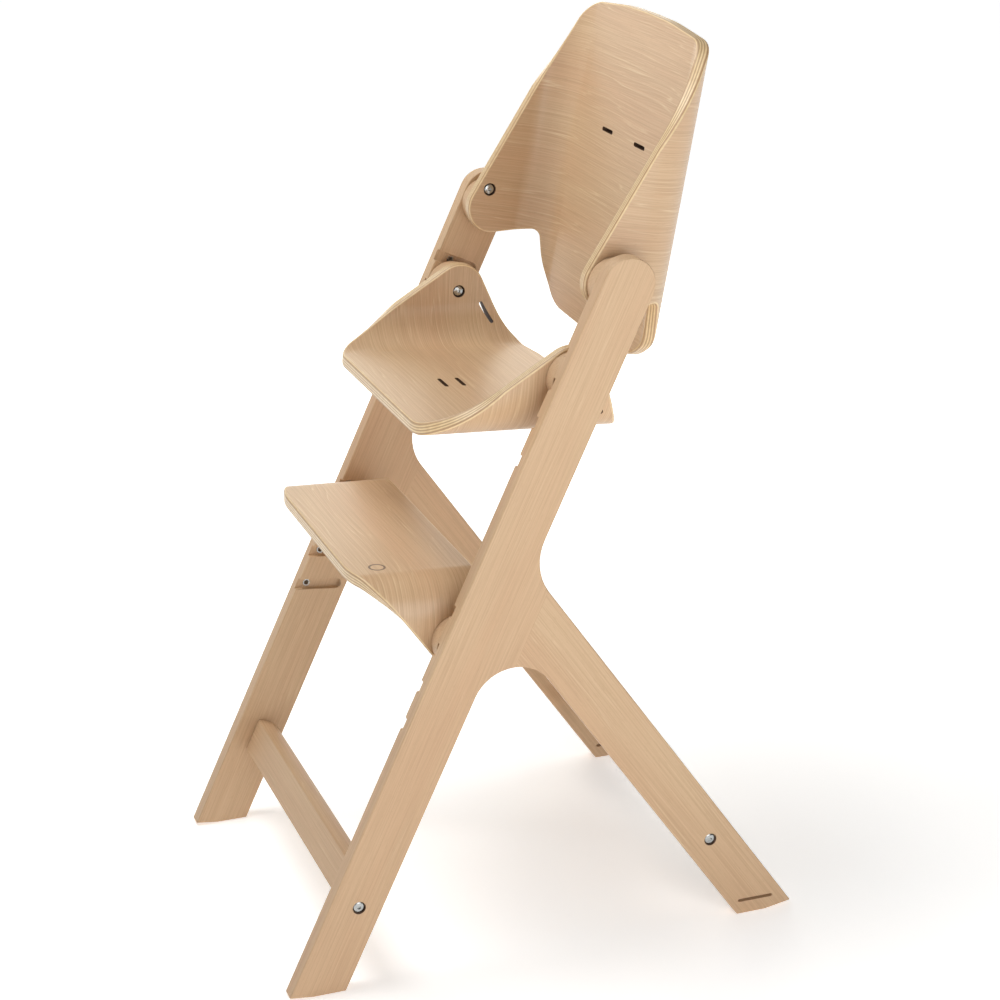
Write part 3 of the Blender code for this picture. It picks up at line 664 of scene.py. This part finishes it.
BOLT_STEEL = metal("bolt_steel", (0.46, 0.47, 0.46), 0.24, 0)
INSERT_ZINC = metal("insert_zinc", (0.62, 0.62, 0.60), 0.28, 5)
# painted shade for the walls of slots and recesses
CUT_WALL_SHADE = shaded_wall()
LEG_BEECH = {("front", "left"): solid_beech("beech_front_left", FRONT_LEAN, 1),
             ("front", "right"): solid_beech("beech_front_right", FRONT_LEAN, 2),
             ("rear", "left"): solid_beech("beech_rear_left", -REAR_LEAN, 3),
             ("rear", "right"): solid_beech("beech_rear_right", -REAR_LEAN, 4)}
BAR_BEECH = {"front": cross_beech("beech_front_bar", 5), "rear": cross_beech("beech_rear_bar", 6)}
DISC_BEECH = solid_beech("beech_discs", math.radians(70), 7)


# ---- the shells ------------------------------------------------------------------------------------
def seat():
    """The wings stand up at the sides, and the plate slopes down to the back."""
    tilt = math.radians(3.3)
    disc_l = 0.2147
    outline = [((-0.1585, 0), 0), ((-0.1585, 0.146), 0.046), ((0.0130, 0.2626), 0.0314),
               ((0.0695, 0.150), 0.060), ((0.0770, 0.095), 0.060), ((0.0770, 0), 0)]
    slots = [((0.0278, side * 0.2009), (0.0423, side * 0.1741)) for side in (1, -1)]
    slots += [((h, -0.0156), (h, 0.0156)) for h in (-0.078, -0.057)]
    along = Vector((math.cos(tilt), -math.sin(tilt)))
    up = Vector((math.sin(tilt), math.cos(tilt)))
    shell("seat", outline, (0.0, disc_l), slots, Bend(0.045, False, disc_l), SEAT_DISC, along, up,
          plywood("plywood_seat", 11))


def backrest():
    """The wings reach forward to the pivots, and the top leans back."""
    lean = math.radians(10.3)
    disc_l = 0.2267
    outline = [((-0.1020, 0), 0), ((-0.0970, 0.1475), 0.076), ((-0.0190, 0.1680), 0.010),
               ((-0.0428, 0.2799), 0.031), ((0.2590, 0.1545), 0.045), ((0.2680, 0.060), 0.400),
               ((0.2690, 0), 0)]
    slots = [((0.1259, side * 0.0308), (0.1259, side * 0.0608)) for side in (1, -1)]
    up = Vector((math.sin(lean), math.cos(lean)))
    forward = Vector((-math.cos(lean), math.sin(lean)))
    shell("backrest", outline, (0.0208, disc_l + 0.0100), slots, Bend(0.043, False, disc_l), PIVOT,
          up, forward, plywood("plywood_backrest", 12))


def footrest():
    """The wings hang down, and the plate is on top."""
    tilt = math.radians(2.7)
    disc_l = 0.2396
    outline = [((-0.1090, 0), 0), ((-0.1090, 0.1515), 0.120), ((0.0310, 0.3313), 0.0313),
               ((0.0310, 0), 0)]
    along = Vector((math.cos(tilt), -math.sin(tilt)))
    down = Vector((-math.sin(tilt), -math.cos(tilt)))
    shell("footrest", outline, (0.0, disc_l), [], Bend(0.031, True, disc_l), FOOT_DISC, along, down,
          plywood("plywood_footrest", 13, burnt_ring=BURN_PLACE))


# ---- turned pieces ---------------------------------------------------------------------------------
def spun(name, profile, start, direction, sides=40):
    """(radius, distance) points spun about the line from start along direction."""
    shape = bmesh.new()
    verts = [shape.verts.new((radius, 0, distance)) for radius, distance in profile]
    edges = [shape.edges.new(pair) for pair in zip(verts, verts[1:])]
    bmesh.ops.spin(shape, geom=verts + edges, cent=(0, 0, 0), axis=(0, 0, 1), angle=2 * math.pi,
                   steps=sides, use_merge=True)
    bmesh.ops.remove_doubles(shape, verts=shape.verts, dist=1e-6)
    bmesh.ops.recalc_face_normals(shape, faces=shape.faces)
    mesh = bpy.data.meshes.new(name)
    shape.to_mesh(mesh)
    shape.free()
    turn = Vector(direction).to_track_quat("Z", "Y").to_matrix().to_4x4()
    mesh.transform(Matrix.Translation(start) @ turn)
    return link(name, mesh)


def domed_bolt(node, outward):
    """A button-head bolt with a hexagon socket; outward is the way its head faces along X."""
    low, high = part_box(node)
    middle = (low + high) / 2
    crown = high.x if outward > 0 else low.x
    reach = high.x - low.x
    steps = 8
    profile = [(0.0, 0.0)]
    profile += [(HEAD_RADIUS * math.sin(a), DOME * (1 - math.cos(a)))
                for a in (math.pi / 2 * n / steps for n in range(1, steps + 1))]
    profile += [(HEAD_RADIUS, 0.0034), (HEAD_RADIUS - 0.0003, 0.0036), (0.0030, 0.0036),
                (0.0030, reach - 0.0004), (0.0026, reach), (0.0, reach)]
    bolt = spun("look_" + node, profile, (crown, middle.y, middle.z), (-outward, 0, 0))
    socket = bmesh.new()
    bmesh.ops.create_cone(socket, cap_ends=True, segments=6, radius1=SOCKET_RADIUS,
                          radius2=SOCKET_RADIUS, depth=2 * SOCKET_DEPTH)
    mesh = bpy.data.meshes.new("socket")
    socket.to_mesh(mesh)
    socket.free()
    mesh.transform(Matrix.Translation((crown, middle.y, middle.z)) @ Matrix.Rotation(math.pi / 2, 4, "Y")
                   @ Matrix.Rotation(0.4, 4, "Z"))
    cut(bolt, link("socket", mesh))
    smooth(bolt, 30)
    stand_for(bolt, node, BOLT_STEEL)


def threaded_insert(node, side):
    """A flanged tube with a chamfered mouth, screwed into the wood."""
    low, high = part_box(node)
    middle = (low + high) / 2
    mouth = low.x if side > 0 else high.x
    length = high.x - low.x
    outer = (high.z - low.z) / 2
    inner = outer - 0.0017
    profile = [(inner, length), (inner, 0.0006), (inner + 0.0005, 0.0), (outer - 0.0003, 0.0),
               (outer, 0.0003), (outer, length), (inner, length)]
    insert = spun("look_" + node, profile, (mouth, middle.y, middle.z), (side, 0, 0))
    smooth(insert, 30)
    stand_for(insert, node, INSERT_ZINC)


def plain_metal(node):
    """Hidden screws and nuts keep their CAD shape, with rounded edges."""
    piece = dressed_copy(node, HIDDEN_EDGE)
    stand_for(piece, node, BOLT_STEEL)


# ---- build it ----------------------------------------------------------------------------------------
def build():
    for side, word in SIDE_WORDS:
        for end in ("front", "rear"):
            leg = end + "_leg_" + word
            piece = dressed_copy(leg)
            close_seam(piece)
            stand_for(piece, leg, LEG_BEECH[(end, word)])
            # painted shade on the wall of the bolt's recess
            darken_recess(piece, end + "_crossbar_bolt_" + word)
            domed_bolt(end + "_crossbar_bolt_" + word, side)
            plain_metal(end + "_crossbar_nut_" + word)
        for part in ("seat", "footrest", "backrest"):
            disc = part + "_disc_" + word
            stand_for(dressed_copy(disc, DISC_EDGE, 3), disc, DISC_BEECH)
            domed_bolt(part + "_bolt_" + word, -side)
            threaded_insert(part + "_disc_insert_" + word, side)
        for part in ("seat", "footrest"):
            plain_metal(part + "_lock_screw_" + word)
        plain_metal("pivot_screw_" + word)
        threaded_insert("pivot_insert_" + word, side)
        for part, grooves in (("seat", 3), ("foot", 4)):
            for number in range(1, grooves + 1):
                threaded_insert("%s_groove_%d_insert_%s" % (part, number, word), side)
        threaded_insert("top_groove_insert_" + word, side)
    for end in ("front", "rear"):
        bar = end + "_crossbar"
        stand_for(dressed_copy(bar), bar, BAR_BEECH[end])
    seat()
    backrest()
    footrest()


# ---- studio ------------------------------------------------------------------------------------------
FLOOR_SIZE = 160
FLOOR_HEIGHT = -0.0005        # just under the feet
FLOOR_WHITE = (0.93, 0.93, 0.93)
GLOW_REACH = 5.0              # distance from the chair over which the floor's glow is set
NEAR_GLOW = 0.46
FAR_GLOW = 0.93
HORIZON_TOP = 0.08            # height on the unit sky where the white band starts to fade
HORIZON_FADED = 0.14
HORIZON_GLOW = 1.0
DOME_GLOW = 0.07


def studio():
    """A pale floor, a bright horizon and three soft lights."""
    bpy.ops.mesh.primitive_plane_add(size=FLOOR_SIZE, location=(0, 0, FLOOR_HEIGHT))
    floor = bpy.context.active_object
    floor.name = "studio_floor"
    floor.data.materials.append(lit_floor())
    world = bpy.data.worlds.new("studio")
    scene.world = world
    world.use_nodes = True
    sky_glow(world.node_tree)
    area_light("key", (1.7, 0.1, 0.9), (0, 0, 0.5), 1.1, 12)
    area_light("top", (-0.35, -0.8, 2.7), (0, 0, 0.5), 1.4, 43)
    area_light("rim", (-2.4, 0.5, 1.5), (0, 0, 0.6), 1.8, 17, (1.0, 0.96, 0.84))
    scene.view_settings.view_transform = "Standard"
    scene.view_settings.look = "None"


def sky_glow(tree):
    """A white band round the horizon and a dim white dome above it."""
    height = tree.nodes.new("ShaderNodeSeparateXYZ")
    tree.links.new(tree.nodes.new("ShaderNodeTexCoord").outputs["Generated"], height.inputs[0])
    fade = tree.nodes.new("ShaderNodeMapRange")
    for name, value in (("From Min", HORIZON_TOP), ("From Max", HORIZON_FADED),
                        ("To Min", HORIZON_GLOW), ("To Max", DOME_GLOW)):
        fade.inputs[name].default_value = value
    tree.links.new(height.outputs["Z"], fade.inputs["Value"])
    tree.links.new(fade.outputs["Result"], tree.nodes["Background"].inputs["Strength"])
    tree.nodes["Background"].inputs["Color"].default_value = (1, 1, 1, 1)


def lit_floor():
    """A white floor that glows a little, more so away from the chair, like a lit backdrop."""
    nodes = Nodes("pale_floor")
    x, y, _ = nodes.split(nodes.object_place())
    out = nodes.math("ADD", nodes.math("MULTIPLY", x, x), nodes.math("MULTIPLY", y, y))
    out = nodes.math("SQRT", out)
    glow = nodes.ramp(nodes.math("DIVIDE", out, GLOW_REACH), (0.08, NEAR_GLOW), (0.45, FAR_GLOW))
    nodes.shader.inputs["Emission Color"].default_value = (1, 1, 1, 1)
    nodes.value(nodes.shader.inputs["Emission Strength"], glow)
    return nodes.finish(FLOOR_WHITE, 0.9)


def area_light(name, place, aim, size, power, colour=(1, 1, 1)):
    lamp = bpy.data.lights.new(name, "AREA")
    lamp.size = size
    lamp.energy = power
    lamp.color = colour
    light = bpy.data.objects.new(name, lamp)
    light.location = place
    light.rotation_mode = "QUATERNION"
    light.rotation_quaternion = (Vector(aim) - Vector(place)).to_track_quat("-Z", "Y")
    light.visible_camera = False
    scene.collection.objects.link(light)


def camera():
    """A long lens that looks down at the chair from its left and a little from the front."""
    azimuth = math.radians(69.912)
    elevation = math.radians(20.467)
    roll = math.radians(-0.207)
    back = Vector((math.sin(azimuth) * math.cos(elevation), -math.cos(azimuth) * math.cos(elevation),
                   math.sin(elevation)))
    level = (-back).cross(Vector((0, 0, 1))).normalized()
    upward = level.cross(-back)
    right = level * math.cos(roll) + upward * math.sin(roll)
    up = upward * math.cos(roll) - level * math.sin(roll)
    aim = Vector((0, 0.0278, 0.45))
    distance = 2.8632
    aside = -0.00174
    above = 0.01867
    place = aim + back * distance + right * aside + up * above
    lens = bpy.data.cameras.new("camera")
    lens.lens = 87.94
    lens.sensor_width = 36
    lens.clip_end = 50
    eye = bpy.data.objects.new("camera", lens)
    axes = Matrix((right, up, back)).transposed().to_4x4()
    eye.matrix_world = Matrix.Translation(place) @ axes
    scene.collection.objects.link(eye)
    scene.camera = eye


build()
studio()
camera()
